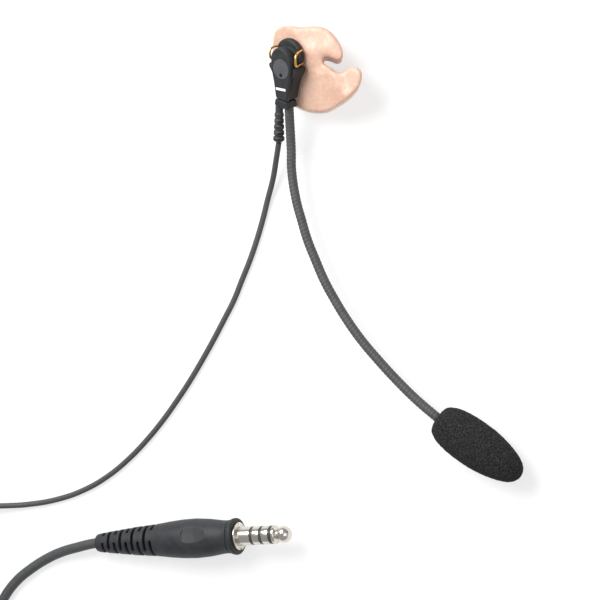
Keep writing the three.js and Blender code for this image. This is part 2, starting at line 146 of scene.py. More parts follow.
def turned(name, profile, steps, angle=360):  # (radius, height) points in millimetres, about Z
    obj = chain(name, [vec(r, 0, h) for r, h in profile], close=angle < 360)
    editing(obj)
    bpy.ops.mesh.spin(steps=steps, angle=math.radians(angle), center=(0, 0, 0), axis=(0, 0, 1))
    doneEditing()
    tidyNormals(obj)
    return obj


def plate(name, outline, front, back):  # the outline in millimetres, between two depths
    obj = chain(name, [vec(x, y, -back) for x, y in outline], close=True)
    editing(obj)
    bpy.ops.mesh.extrude_region_move(TRANSFORM_OT_translate={"value": (0, 0, (back - front) * mm)})
    doneEditing()
    tidyNormals(obj)
    return obj


def softenEdges(obj, width, segments=3, angle=35):
    addModifier(obj, "BEVEL", width=width * mm, segments=segments, limit_method="ANGLE",
                angle_limit=math.radians(angle))
    applyModifiers(obj)


def selectFaces(obj, test):  # test takes a face's centre in millimetres and its normal
    editing(obj)
    bpy.ops.mesh.select_mode(type="FACE")
    bpy.ops.mesh.select_all(action="DESELECT")
    doneEditing()
    for face in obj.data.polygons:
        face.select = test(face.center / mm, face.normal)
    bpy.ops.object.mode_set(mode="EDIT")


def selectPoints(obj, test):  # test takes a point in millimetres
    editing(obj)
    bpy.ops.mesh.select_mode(type="VERT")
    bpy.ops.mesh.select_all(action="DESELECT")
    doneEditing()
    for point in obj.data.vertices:
        point.select = test(point.co / mm)
    bpy.ops.object.mode_set(mode="EDIT")


def selectEnds(obj, first, last):  # two points in millimetres
    selectPoints(obj, lambda at: min((at - first).length, (at - last).length) < hair)


def roundEdge(obj, depth, width, segments=5):  # the rim of the flat face at that depth
    selectFaces(obj, lambda at, normal: abs(at.z + depth) < 0.02 and abs(normal.z) > 0.9)
    bpy.ops.mesh.bevel(offset=width * mm, segments=segments, affect="EDGES")
    doneEditing()
    tidyNormals(obj)


def carve(obj, tool, operation="DIFFERENCE", solver="EXACT"):
    addModifier(obj, "BOOLEAN", object=tool, operation=operation, solver=solver)
    applyModifiers(obj)
    bpy.data.objects.remove(tool, do_unlink=True)


def remeshed(obj, voxel, smoothing):
    addModifier(obj, "REMESH", mode="VOXEL", voxel_size=voxel * mm)
    addModifier(obj, "SMOOTH", iterations=smoothing, factor=0.5)
    applyModifiers(obj)


def cylinder(radius, front, back, sides, x=0, y=0):  # about Z, between two depths
    bpy.ops.object.select_all(action="DESELECT")
    bpy.ops.mesh.primitive_cylinder_add(vertices=sides, radius=radius * mm, depth=(back - front) * mm,
                                        location=vec(x, y, -(front + back) / 2))
    obj = bpy.context.object
    bpy.ops.object.transform_apply(location=True, rotation=True, scale=True)
    return obj


def block(x0, x1, y0, y1, z0, z1):
    bpy.ops.object.select_all(action="DESELECT")
    bpy.ops.mesh.primitive_cube_add(size=1, location=vec((x0 + x1) / 2, (y0 + y1) / 2, (z0 + z1) / 2),
                                    scale=(x1 - x0, y1 - y0, z1 - z0))
    obj = bpy.context.object
    obj.scale *= mm
    bpy.ops.object.transform_apply(location=True, rotation=True, scale=True)
    return obj


def arc(x, y, radius, start, end, count):  # degrees
    angles = [math.radians(start + (end - start) * i / count) for i in range(count + 1)]
    return [(x + radius * math.cos(a), y + radius * math.sin(a)) for a in angles]


def mirrored(half):  # a right half from top to bottom, and its mirror back up
    return half + [(-x, y) for x, y in reversed(half) if x > hair]


def filleted(points, radius, closed=False, steps=4):  # each corner becomes a short curve
    result = []
    for i, corner in enumerate(points):
        here = Vector(corner)
        if not closed and i in (0, len(points) - 1):
            result.append(tuple(here))
            continue
        before, after = Vector(points[i - 1]), Vector(points[(i + 1) % len(points)])
        reach = min(radius, (before - here).length * 0.45, (after - here).length * 0.45)
        first = here + (before - here).normalized() * reach
        last = here + (after - here).normalized() * reach
        for step in range(steps + 1):
            t = step / steps
            result.append(tuple(first.lerp(here, t).lerp(here.lerp(last, t), t)))
    return result


def lofted(name, sections):  # (depth, outline) pairs, bridged one to the next and capped
    rings = []
    for depth, outline in sections:
        points = [vec(x, y, -depth) for x, y in outline]
        rings.append(chain(name, points))
        selectEnds(rings[-1], points[0] / mm, points[-1] / mm)
        bpy.ops.mesh.edge_face_add()
        doneEditing()
    obj = joined(rings, name)
    depths = [depth for depth, outline in sections]
    for front, back in zip(depths, depths[1:]):
        selectPoints(obj, lambda at: min(abs(at.z + front), abs(at.z + back)) < hair)
        bpy.ops.mesh.bridge_edge_loops()
        doneEditing()
    for depth in (depths[0], depths[-1]):
        selectPoints(obj, lambda at: abs(at.z + depth) < hair)
        bpy.ops.mesh.edge_face_add()
        doneEditing()
    tidyNormals(obj)
    return obj


def curveThrough(name, points, radius, resolution=6, sides=4, corners=False):  # metres
    data = bpy.data.curves.new(name, "CURVE")
    data.dimensions = "3D"
    spline = data.splines.new("POLY" if corners else "BEZIER")
    knots = spline.points if corners else spline.bezier_points
    knots.add(len(points) - 1)
    for knot, point in zip(knots, points):
        if corners:
            knot.co = (*point, 1)
        else:
            knot.co = point
            knot.handle_left_type = knot.handle_right_type = "AUTO"
    spline.resolution_u = resolution
    data.resolution_u = resolution
    data.bevel_depth = radius
    data.bevel_resolution = sides
    data.use_fill_caps = radius > 0
    obj = bpy.data.objects.new(name, data)
    bpy.context.collection.objects.link(obj)
    return obj


def asMesh(obj):
    pickOut(obj)
    bpy.ops.object.convert(target="MESH")
    return bpy.context.object


# places, from the frame

joints = {j["name"]: j for j in frame["record"]["behaviour"]["joints"]}
mounts = {m["name"]: m for m in frame["record"]["mounts"]}

unit = {"flangeRise": 3.6, "flangeBack": 6.9}  # where the coupler's axis leaves the unit
up = Vector(joints["latch_left_squeeze"]["axis"]).normalized()
out = Vector(joints["mould_turn"]["axis"]).normalized()
side = up.cross(out)
unitPlace = (Vector(joints["mould_turn"]["pos_m"]) - up * unit["flangeRise"] * mm
             + out * unit["flangeBack"] * mm)
unitFrame = Matrix((side, up, out)).transposed().to_4x4()
unitFrame.translation = unitPlace

plugWay = Vector(mounts["plug_shoulder"]["axis"]).normalized()
plugUp = (Vector((0, 0, 1)) - plugWay * plugWay.z).normalized()
plugFrame = Matrix((plugUp.cross(plugWay), plugUp, plugWay)).transposed().to_4x4()
shoulderRadius = 4.6 * mm  # from the plug's axis to the mount's point
plugFrame.translation = Vector(mounts["plug_shoulder"]["pos_m"]) - plugUp * shoulderRadius

micWay = Vector(joints["windscreen_pull"]["axis"]).normalized()


# camera

camera = {"aim": (-41.6, -17.8, 0), "lean": 24, "distance": 1200, "width": 230, "sensor": 36}
lean = math.radians(camera["lean"])
lens = bpy.data.cameras.new("camera")
lens.sensor_width = camera["sensor"]
lens.lens = camera["sensor"] * camera["distance"] / camera["width"]
lens.clip_end = 10
viewer = bpy.data.objects.new("camera", lens)
bpy.context.collection.objects.link(viewer)
viewer.location = vec(*camera["aim"]) + vec(math.sin(lean), 0, math.cos(lean)) * camera["distance"]
viewer.rotation_euler = (0, lean, 0)
scene.camera = viewer


# finishes

class Wire:  # one output socket, which takes arithmetic
    def __init__(self, finish, socket):
        self.finish, self.socket = finish, socket

    def maths(self, operation, *values):
        return self.finish.node("Math", {"operation": operation}, dict(enumerate(values)))

    def __add__(self, other):
        return self.maths("ADD", self, other)

    def __mul__(self, other):
        return self.maths("MULTIPLY", self, other)

    def __sub__(self, other):
        return self.maths("SUBTRACT", self, other)

    def above(self, edge, blur):  # 0 below the edge, 1 above it
        return self.finish.node("MapRange", {"interpolation_type": "SMOOTHSTEP"},
                                {"Value": self, "From Min": edge - blur, "From Max": edge + blur})


class Finish:
    def __init__(self, name, **constants):
        self.material = bpy.data.materials.new(name)
        self.material.use_nodes = True
        self.tree = self.material.node_tree
        self.shader = self.tree.nodes["Principled BSDF"]
        for key, value in constants.items():
            self.shader.inputs[key.replace("_", " ")].default_value = value

    def node(self, kind, settings=None, inputs=None, output=0):
        made = self.tree.nodes.new("ShaderNode" + kind)
        for key, value in (settings or {}).items():
            setattr(made, key, value)
        for key, value in (inputs or {}).items():
            if isinstance(value, Wire):
                self.tree.links.new(value.socket, made.inputs[key])
            else:
                made.inputs[key].default_value = value
        return Wire(self, made.outputs[output])

    def coords(self):
        return Wire(self, self.tree.nodes.new("ShaderNodeTexCoord").outputs["Object"])

    def noise(self, size, detail=3, roughness=0.5):  # size in millimetres
        return self.node("TexNoise", None, {"Vector": self.coords(), "Scale": 1 / (size * mm),
                                            "Detail": detail, "Roughness": roughness})

    def cells(self, size):  # size in millimetres
        return self.node("TexVoronoi", None, {"Vector": self.coords(), "Scale": 1 / (size * mm)})

    def blend(self, factor, first, second):
        asColour = [v if isinstance(v, Wire) else (*v, 1) for v in (first, second)]
        return self.node("Mix", {"data_type": "RGBA"}, {0: factor, 6: asColour[0], 7: asColour[1]}, output=2)

    def set(self, **links):
        for key, value in links.items():
            self.tree.links.new(value.socket, self.shader.inputs[key.replace("_", " ")])

    def bump(self, height, distance, strength):  # distance in millimetres
        inputs = {"Height": height, "Distance": distance * mm, "Strength": strength}
        self.set(Normal=self.node("Bump", None, inputs))


def mouldedFinish(name, dark, light, rough=(0.42, 0.58), grain=0.16, shine=0.3):
    f = Finish(name, Specular_IOR_Level=shine)
    worn = f.noise(3.0, 4).above(0.5, 0.28)
    speck = f.noise(grain, 2)
    f.set(Base_Color=f.blend(worn * 0.6 + speck * 0.4, dark, light),
          Roughness=speck * (rough[1] - rough[0]) + rough[0] + worn * 0.05)
    f.bump(speck, 0.012, 0.8)
    return f.material


def metalFinish(name, dark, light, rough=(0.14, 0.26)):
    f = Finish(name, Metallic=1.0)
    smear = f.noise(1.6, 4)
    fine = f.noise(0.12, 2)
    f.set(Base_Color=f.blend(smear, dark, light), Roughness=smear * (rough[1] - rough[0]) + rough[0])
    f.bump(fine, 0.002, 0.4)
    return f.material


def jacketFinish(name, dark, light):
    f = Finish(name, Specular_IOR_Level=0.3)
    streak = f.noise(0.9, 3)
    fine = f.noise(0.10, 2)
    f.set(Base_Color=f.blend(streak, dark, light), Roughness=fine * 0.14 + 0.40)
    f.bump(fine, 0.008, 0.6)
    return f.material


def foamFinish():
    f = Finish("foam", Specular_IOR_Level=0.15)
    pores = f.cells(0.55)
    clumps = f.noise(0.9, 4, 0.7)
    fuzz = f.noise(0.22, 3, 0.7)
    shade = pores * 1.3 + clumps * 0.8 - 0.55
    f.set(Base_Color=f.blend(shade, (0.003, 0.003, 0.0033), (0.044, 0.044, 0.046)),
          Roughness=fuzz * 0.1 + 0.88)
    f.bump(pores * 0.7 + fuzz * 0.6 + clumps * 0.5, 0.35, 1.0)
    return f.material


def mouldFinish():
    f = Finish("mould_silicone", Subsurface_Weight=0.25, Subsurface_Radius=(0.8, 0.35, 0.2),
               Subsurface_Scale=0.0022)
    patches = f.noise(11, 3)
    mottle = f.noise(1.4, 4)
    fine = f.noise(0.35, 3)
    base = f.blend(patches.above(0.5, 0.22), (0.67, 0.435, 0.33), (0.61, 0.36, 0.26))
    f.set(Base_Color=f.blend(mottle.above(0.55, 0.2) * 0.45, base, (0.77, 0.58, 0.47)),
          Roughness=fine * 0.12 + 0.34)
    f.bump(fine * 0.6 + mottle * 0.8, 0.035, 0.7)
    return f.material


finishes = {
    "black_plastic": mouldedFinish("black_plastic", (0.018, 0.019, 0.020), (0.034, 0.035, 0.038)),
    "grey_plastic": mouldedFinish("grey_plastic", (0.066, 0.069, 0.075), (0.086, 0.090, 0.098), (0.38, 0.5)),
    "boom_sleeve": mouldedFinish("boom_sleeve", (0.052, 0.053, 0.055), (0.082, 0.083, 0.086),
                                 (0.50, 0.60), 0.12, shine=0.4),
    "lead_jacket": jacketFinish("lead_jacket", (0.050, 0.052, 0.055), (0.080, 0.083, 0.087)),
    "plug_moulding": mouldedFinish("plug_moulding", (0.019, 0.0205, 0.023), (0.038, 0.041, 0.046),
                                   (0.42, 0.6), 0.2),
    "foam": foamFinish(),
    "mould_silicone": mouldFinish(),
    "clear_plastic": mouldedFinish("clear_plastic", (0.62, 0.60, 0.56), (0.75, 0.73, 0.70), (0.2, 0.3)),
    "gold_wire": metalFinish("gold_wire", (0.80, 0.45, 0.12), (0.95, 0.62, 0.22), (0.12, 0.24)),
    "nickel": metalFinish("nickel", (0.60, 0.56, 0.50), (0.76, 0.72, 0.66)),
    "insulator": mouldedFinish("insulator", (0.042, 0.045, 0.043), (0.06, 0.064, 0.061), (0.25, 0.35)),
    "board": mouldedFinish("board", (0.02, 0.10, 0.05), (0.03, 0.16, 0.08), (0.3, 0.45)),
    "gasket": mouldedFinish("gasket", (0.02, 0.02, 0.02), (0.04, 0.04, 0.04), (0.6, 0.8)),
    "relief": mouldedFinish("relief", (0.034, 0.035, 0.037), (0.056, 0.058, 0.061), (0.45, 0.58)),
    "mark": mouldedFinish("mark", (0.80, 0.80, 0.80), (0.9, 0.9, 0.9), (0.4, 0.5)),
}


def finishPiece(obj, body, slot, *nodes, angle=32, finish=None, crisp=True):
    if obj.type == "MESH":
        smooth(obj, angle)
        if crisp:
            addModifier(obj, "WEIGHTED_NORMAL", keep_sharp=True)
            applyModifiers(obj)
    obj.data.materials.clear()
    obj.data.materials.append(finishes[finish or slot])
    if body:  # a piece given no body, such as a boom length, rides on none
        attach(obj, body)
    if nodes:
        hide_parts(*nodes)
    return obj


for row in frame["record"]["subparts"]:  # the CAD nodes that stay get the same finishes
    for slot in frame["nodes"][row["node"]].material_slots:
        slot.material = finishes[row["material_slot"]]
print("finishes made")


# thin lead

relief = {"seat": (-3.3, -14.5, -2), "turn": -5, "leadFrom": 16.2, "length": 15.9,
          "plain": 3.75, "plainRadius": 1.5, "beads": 5, "pitch": 2.39, "root": 1.5, "firstBead": 1.9,
          "lastBead": 2.3, "slot": 0.7, "core": 1.3, "reach": 4, "span": 120, "firstSlot": 90}
thinLead = {"radius": 1.1, "length": 0.2095}
reliefTurn = Euler((0, 0, math.radians(relief["turn"]))).to_matrix()
reliefTip = unitFrame @ (vec(*relief["seat"]) + (reliefTurn @ vec(0, -relief["leadFrom"], 0)))
thinRoute = [reliefTip] + [vec(*p) for p in [
    (-49.2, 35.7, 5.4), (-51.5, 28.7, 3.2), (-54.3, 21.1, 1.8), (-56.8, 13, 1.2),
    (-59.3, 5.3, 1.15), (-62.2, -2.4, 1.15), (-65.6, -10.1, 1.15), (-69, -17.8, 1.15), (-73.3, -25.5, 1.15),
    (-77.8, -33.3, 1.15), (-82.6, -41.1, 1.15), (-87.7, -48.9, 1.15), (-93.4, -56.8, 1.15),
    (-99.6, -64.7, 1.15), (-106.6, -72.5, 1.15), (-114.8, -80.3, 1.15), (-124.1, -87.3, 1.15),
    (-134.6, -92.9, 1.15), (-146.6, -96.9, 1.15), (-159.6, -99.2, 1.6), (-168.6, -99.9, 2.6),
    (-174.6, -100.1, 3.4),
]]
thin = curveThrough("thin_lead_jacket", thinRoute, thinLead["radius"] * mm)
finishPiece(thin, "head", "lead_jacket", "thin_lead")


# plug lead, with its coil

plugLead = {"radius": 2.0, "coilCentre": (-207.6, -130.3), "inner": 18, "pitch": 4, "top": 6, "low": 2.05,
            "startAngle": 105, "turns": 5 + 165 / 360, "pointsPerTurn": 18, "beforeShoulder": 56.2}


def coilPoint(turn):  # turns wound inwards on top, then outwards below
    whole, share = divmod(turn, 1)
    degrees = share * 360

    def eased(start, end):  # from 0 to 1 between two angles of the turn
        t = min(max((degrees - start) / (end - start), 0), 1)
        return t * t * (3 - 2 * t)

    if whole < 2:
        step, high = 2 - whole - eased(300, 360), 1
    elif whole == 2:
        step, high = 0, 1 - eased(240, 300)
    else:
        step, high = whole - 3 + eased(180, 240), 0
    radius = plugLead["inner"] + plugLead["pitch"] * min(step, 2)
    angle = math.radians(plugLead["startAngle"] + turn * 360)
    x, y = plugLead["coilCentre"]
    z = plugLead["low"] + (plugLead["top"] - plugLead["low"]) * high
    return vec(x + radius * math.cos(angle), y + radius * math.sin(angle), z)


feedRoute = [(-195.2, -100.5, 3.4), (-197, -100.5, 3.6), (-200.4, -100.6, 4.3), (-205.6, -101.9, 5.3)]
coilCount = round(plugLead["turns"] * plugLead["pointsPerTurn"])
coilRoute = [coilPoint(plugLead["turns"] * i / coilCount) for i in range(coilCount + 1)]
exitRoute = [
    (-198.6, -156.6, 2.05), (-189.6, -156.5, 2.05), (-182.6, -154.1, 2.05), (-176.9, -148.9, 2.05),
    (-173, -142.2, 2.05), (-169, -135.2, 2.05), (-163.8, -129.3, 2.05), (-158.6, -125.3, 2.05),
    (-151.4, -120.9, 2.1), (-144.1, -117.7, 2.8), (-136.1, -115.4, 4.1), (-126.7, -113.28, 5.03),
]
insideBoot = plugFrame.translation - plugWay * plugLead["beforeShoulder"] * mm
plugRoute = [vec(*p) for p in feedRoute] + coilRoute + [vec(*p) for p in exitRoute] + [insideBoot]
thick = curveThrough("plug_lead_jacket", plugRoute, plugLead["radius"] * mm)
finishPiece(thick, "head", "lead_jacket", "plug_lead_feed", "lead_coil", "plug_lead")


def routeLength(points):
    return sum((b - a).length for a, b in zip(points, points[1:]))


print("leads laid", round(routeLength(thinRoute), 4), round(routeLength(plugRoute), 4))


# earphone unit

head = {
    "archRadius": 4.9, "archHeight": 2.9, "coverBack": 1.9, "coverRim": 0.7, "foot": (-12.2, -13.0),
    "earsFront": 1.15, "discRadius": 3.95, "discDrop": -0.3, "discThick": 0.7, "discSink": 0.02,
    "discGap": 0.12, "pocket": 0.75, "holeRadius": 0.8, "holeDrop": 2.5,
    "flangeRadius": 6.3, "flangeHeight": 4.0, "flangeFront": 4.7, "flangeFoot": 0.9, "flangeTrim": 16,
    "slotHigh": 6.4, "slotHalf": 0.6, "mark": (-2.9, 2.0, -8.75, -7.8),
}
latch = {"left": {"way": -1, "low": 2.2, "front": 2.1}, "right": {"way": 1, "low": 1.4, "front": 0.9}}
latchRadius = 0.42


def coverPiece():
    right = [(4.9, 1), (4.9, -1.2), (3.5, -6.2), (2.6, -11.4), (2.0, head["foot"][1])]
    left = [(-3.2, head["foot"][0]), (-3.5, -11.4), (-4.0, -6.2), (-4.9, -1.2), (-4.9, 1)]
    outline = arc(0, head["archHeight"], head["archRadius"], 180, 0, 28) + filleted(right, 1.2)[1:] \
        + filleted(left, 1.2)[:-1]
    cover = plate("front_cover_shell", outline, 0, head["coverBack"])
    roundEdge(cover, 0, head["coverRim"])
    earOutline = filleted([(-4, 1.1), (4, 0.2), (6.9, 0.2), (7.0, -0.6), (4.4, -4.2), (-4.4, -4.2),
                           (-6.8, -0.2), (-6.5, 1.1)], 0.4, True)
    carve(cover, plate("ears", earOutline, head["earsFront"], head["coverBack"] - 0.02), "UNION")
    pocketRadius = head["discRadius"] + head["discGap"]
    carve(cover, cylinder(pocketRadius, -1, head["pocket"], 72, y=head["discDrop"]))
    place(cover, unitFrame)
    finishPiece(cover, "head", "black_plastic", "front_cover")


def discPiece():
    r, back, front = head["discRadius"], -head["discThick"], -head["discSink"]
    disc = turned("port_disc", filleted([(0, back), (r, back), (r, front), (0, front)], 0.12), 72)
    carve(disc, cylinder(head["holeRadius"], -1, 2, 32, y=-head["holeDrop"]))
    softenEdges(disc, 0.1, 2, 60)
    place(disc, unitFrame @ Matrix.Translation(vec(0, head["discDrop"], 0)))
    finishPiece(disc, "head", "grey_plastic", "sound_port_disc")


def housingPiece():
    front = [(0, -0.1), (4.3, -0.1), (6.2, -0.1), (6.0, -1.3), (4.7, -2.6), (4.2, -4.2), (3.4, -6),
             (2.9, -9), (2.5, -11.4), (2.0, -12.7), (0, -12.7)]
    back = [(0, 0.3), (5.6, 0.3), (7.1, 0.3), (7.3, -0.9), (6.2, -2.6), (4.75, -4.5), (4.0, -6.4), (3.2, -9),
            (2.6, -11.6), (2.1, -12.9), (0, -12.9)]

    def section(share, grow=0.0):  # between the front and the back outline
        half = [tuple(Vector(a).lerp(Vector(b), share) * (1 + grow)) for a, b in zip(front, back)]
        return mirrored(filleted(half, 0.8))

    shell = lofted("rear_housing_shell", [
        (1.92, section(0.55)), (2.6, section(0.65)), (3.4, section(0.78)), (4.4, section(0.92)),
        (5.4, section(1)), (6.2, section(1)), (6.4, section(1, -0.03)),
    ])
    neck = [(4.62, 1.7), (4.3, 2.3), (4.12, 3.1), (4.2, 3.9), (4.5, 4.5), (4.95, 4.9)]
    neckFoot = -1.5
    sections = [(depth, mirrored(arc(0, head["archHeight"], r, 90, 0, 16) + [(r, neckFoot), (0, neckFoot)]))
                for r, depth in neck]
    carve(shell, lofted("neck", sections), "UNION")
    place(shell, unitFrame)
    finishPiece(shell, "head", "black_plastic", "rear_housing")


def flangePiece():
    r, rise, foot = head["flangeRadius"], head["flangeHeight"], head["flangeFoot"]
    low = math.degrees(math.asin((foot - rise) / r))
    corner = r * math.cos(math.radians(low))
    trim = head["flangeTrim"]
    rim = arc(0, rise, r, low + trim, 180 - trim - low, 48)
    left = filleted([rim[-1], (-corner, foot), (-3, foot)], 1.8, steps=6)[1:]
    right = filleted([(3, foot), (corner, foot), rim[0]], 1.8, steps=6)[:-1]
    flange = plate("coupler_flange_lip", rim + left + right, head["flangeFront"], unit["flangeBack"])
    roundEdge(flange, head["flangeFront"], 0.85, 6)
    roundEdge(flange, unit["flangeBack"], 0.35, 3)
    half = head["slotHalf"]
    for hand, x0, x1 in (("left", -9, -5.0), ("right", 5.0, 9)):
        for y in (latch[hand]["low"], head["slotHigh"]):
            carve(flange, block(x0, x1, y - half, y + half, -7.5, -4.2), solver="MANIFOLD")
    place(flange, unitFrame)
    finishPiece(flange, "head", "black_plastic", "coupler_flange")


def spoutPiece():
    front = unit["flangeBack"] + 0.25
    profile = filleted([(1.3, 0), (2.9, 0), (3.0, 0.9), (2.65, 1.1), (2.65, 1.7), (3.0, 1.9), (3.05, 2.9),
                        (2.5, 3.85), (1.3, 3.85), (1.3, 0)], 0.12)
    spout = turned("sound_spout_barrel", [(r, -front - h) for r, h in profile], 56)
    place(spout, unitFrame @ Matrix.Translation(vec(0, unit["flangeRise"], 0)))
    finishPiece(spout, "head", "black_plastic", "sound_spout")


def latchWire(hand):  # a loop from the flange, round the unit's side and back to the flange
    way, low, front = latch[hand]["way"], latch[hand]["low"], latch[hand]["front"]
    route = filleted([
        (5.75, low, -6.1), (6.85, low, -front - 0.9), (6.95, low + 0.25, -front - 0.2),
        (6.95, low + 1.1, -front), (7.0, 4.7, -front), (7.0, 5.7, -front - 0.45), (6.9, 6.3, -front - 1.3),
        (6.6, 6.55, -front - 2.4), (5.75, 6.5, -6.1)], 0.9, steps=6)
    points = [vec(way * x, y, z) for x, y, z in route]
    wire = asMesh(curveThrough("latch_wire_loop_" + hand, points, latchRadius * mm, sides=5, corners=True))
    tidyNormals(wire)
    place(wire, unitFrame)
    finishPiece(wire, "latch_" + hand, "gold_wire", "latch_wire_" + hand, angle=60, crisp=False)


def markPiece():
    x0, x1, y0, y1 = head["mark"]
    mark = plate("printed_bar", filleted([(x0, y0), (x1, y0), (x1, y1), (x0, y1)], 0.15, True), -0.03, 0.1)
    place(mark, unitFrame)
    finishPiece(mark, "head", "black_plastic", finish="mark")


def yokePiece():
    outline = filleted([(-3.6, -12.4), (2.2, -13.3), (2.5, -16.0), (-1.3, -16.0), (-1.5, -15.0),
                        (-4.3, -15.0)], 0.5, True, 5)
    yoke = plate("yoke_boot_shell", outline, 0.1, 5.9)
    roundEdge(yoke, 0.1, 0.4, 4)
    roundEdge(yoke, 5.9, 0.5, 3)
    place(yoke, unitFrame)
    finishPiece(yoke, "head", "black_plastic", "yoke_boot", angle=50)


def staggeredSlots(heights, thick, core, reach, span, turn):
    sectors = []  # two to a row, and each row a quarter turn on from the last
    for row, height in enumerate(heights):
        for half in (0, 180):
            low, high = height - thick / 2, height + thick / 2
            sector = turned("slot", [(core, low), (reach, low), (reach, high), (core, high)], 14, span)
            centre = math.radians(turn + half + 90 * (row % 2) + span / 2)
            place(sector, Matrix.Rotation(centre, 4, "Z"))
            sectors.append(sector)
    return joined(sectors, "slots")


def reliefPiece():
    profile = [(0, 0), (relief["plainRadius"] - 0.1, 0), (relief["plainRadius"], 0.4),
               (relief["plainRadius"], relief["plain"] - 0.3), (relief["root"] - 0.12, relief["plain"])]
    for bead in range(relief["beads"]):
        start = relief["plain"] + relief["pitch"] * bead
        r = relief["firstBead"] + (relief["lastBead"] - relief["firstBead"]) * bead / (relief["beads"] - 1)
        profile += [(relief["root"], start + 0.1), (r - 0.15, start + 0.6), (r, start + 1.2),
                    (r - 0.15, start + 1.8), (relief["root"], start + 2.3)]
    profile += [(1.25, relief["length"]), (0, relief["length"])]
    sleeve = turned("strain_relief_sleeve", profile, 48)
    heights = [relief["plain"] + relief["pitch"] * (bead + 0.5) for bead in range(relief["beads"])]
    carve(sleeve, staggeredSlots(heights, relief["slot"], relief["core"], relief["reach"], relief["span"],
                                 relief["firstSlot"]))
    remeshed(sleeve, 0.09, 6)
    seat = Matrix.Translation(vec(*relief["seat"])) @ Matrix.Rotation(math.radians(relief["turn"]), 4, "Z")
    place(sleeve, unitFrame @ seat @ Matrix.Rotation(math.radians(90), 4, "X"))
    finishPiece(sleeve, "head", "black_plastic", "strain_relief", finish="relief", crisp=False)


coverPiece()
discPiece()
housingPiece()
flangePiece()
spoutPiece()
latchWire("left")
latchWire("right")
markPiece()
yokePiece()
reliefPiece()
print("earphone unit made")


# ear mould

mould = {"lean": 24, "middle": 12, "height": 20, "voxel": 0.45, "clear": 0.7, "weld": 0.01,
         "faceAbove": 10, "grip": 0.7, "firstSmooth": 60, "lastSmooth": 16,
         # each hollow: where, how deep and how wide; a negative depth is a swelling
         "hollows": ((-25.4, 70.2, 1.6, 7), (-27.8, 66.0, 1.3, 7), (-30.0, 61.8, 1.0, 7),
                     (-27.5, 81.5, 1.0, 8), (-20.8, 62.0, -0.7, 8), (-14.8, 63.0, 1.2, 7),
                     (-22.0, 77.5, -0.6, 6))}


def mouldPiece():
    outline = [
        (-47.5, 79.7), (-46.6, 84.1), (-43.8, 85.7), (-35.6, 85.2), (-28.3, 85.2), (-23.2, 82.7),
        (-20.2, 78.9), (-18.4, 74.3), (-19.6, 71.7), (-23.2, 72.9), (-26.2, 73.5), (-27.6, 71.9),
        (-24.1, 69.7), (-19.8, 67.3), (-16.8, 69), (-13.9, 69.7), (-11.2, 68.1), (-11, 64.3),
        (-15.4, 58.5), (-20.1, 55.7), (-25.1, 53.4), (-31.6, 53.7), (-37.6, 55.7), (-43.1, 59.7),
        (-46.6, 66.7), (-47.6, 73.7),
    ]
    slant = math.tan(math.radians(mould["lean"]))
    shift = slant * mould["middle"]
    edge = curveThrough("mould_outline", [vec(x - shift, y, 0) for x, y in outline], 0, 5)
    edge.data.splines[0].use_cyclic_u = True
    body = asMesh(edge)
    body.name = "ear_mould_body"
    editing(body)
    bpy.ops.mesh.remove_doubles(threshold=mould["weld"] * mm)
    bpy.ops.mesh.edge_face_add()
    rise = mould["height"] * mm
    bpy.ops.mesh.extrude_region_move(TRANSFORM_OT_translate={"value": (slant * rise, 0, rise)})
    doneEditing()
    tidyNormals(body)
    remeshed(body, mould["voxel"], mould["firstSmooth"])
    for x, y, push, radius in mould["hollows"]:
        selectPoints(body, lambda at: (math.hypot(at.x - x, at.y - y) < mould["grip"]
                                       and at.z > mould["faceAbove"]))
        bpy.ops.transform.translate(value=vec(0, 0, -push), use_proportional_edit=True,
                                    proportional_edit_falloff="SMOOTH", proportional_size=radius * mm)
        doneEditing()
    return body


mouldBody = mouldPiece()
cutAt = unitFrame @ Vector((0, 0, -(unit["flangeBack"] + mould["clear"]) * mm))
editing(mouldBody)
bpy.ops.mesh.bisect(plane_co=cutAt, plane_no=out, use_fill=True, clear_outer=True)
doneEditing()
tidyNormals(mouldBody)
remeshed(mouldBody, mould["voxel"], mould["lastSmooth"])
place(mouldBody, Matrix.Identity(4))
finishPiece(mouldBody, "mould", "mould_silicone", "ear_mould", crisp=False)
print("ear mould made")


# gooseneck boom

boom = {"pitch": 1.45, "crest": 1.82, "root": 1.7, "joints": (24, 47, 70, 93, 116), "bendReach": 9,
        "length": 138.9, "steps": 20, "routeSteps": 24}
boomBodies = ["head", "boom_1", "boom_2", "boom_3", "boom_4", "mic"]
boomRoute = [unitFrame @ vec(0.6, -15.6, -3)] + [vec(*p) for p in [
    (-40.8, 46.7, 10.9), (-41.2, 39.2, 9.1), (-41.2, 31.7, 8.7), (-39.3, 20.2, 8.7), (-37.1, 12.7, 8.7),
    (-34.6, 5, 8.7), (-31.3, -2.6, 8.7), (-27.7, -10.3, 8.7), (-23.3, -17.8, 8.7), (-18.3, -25.3, 8.7),
    (-12.4, -32.9, 8.7), (-5.6, -40.3, 8.7), (1.8, -47.7, 8.7), (10.1, -55.2, 8.7), (18.8, -62, 8.7),
]]


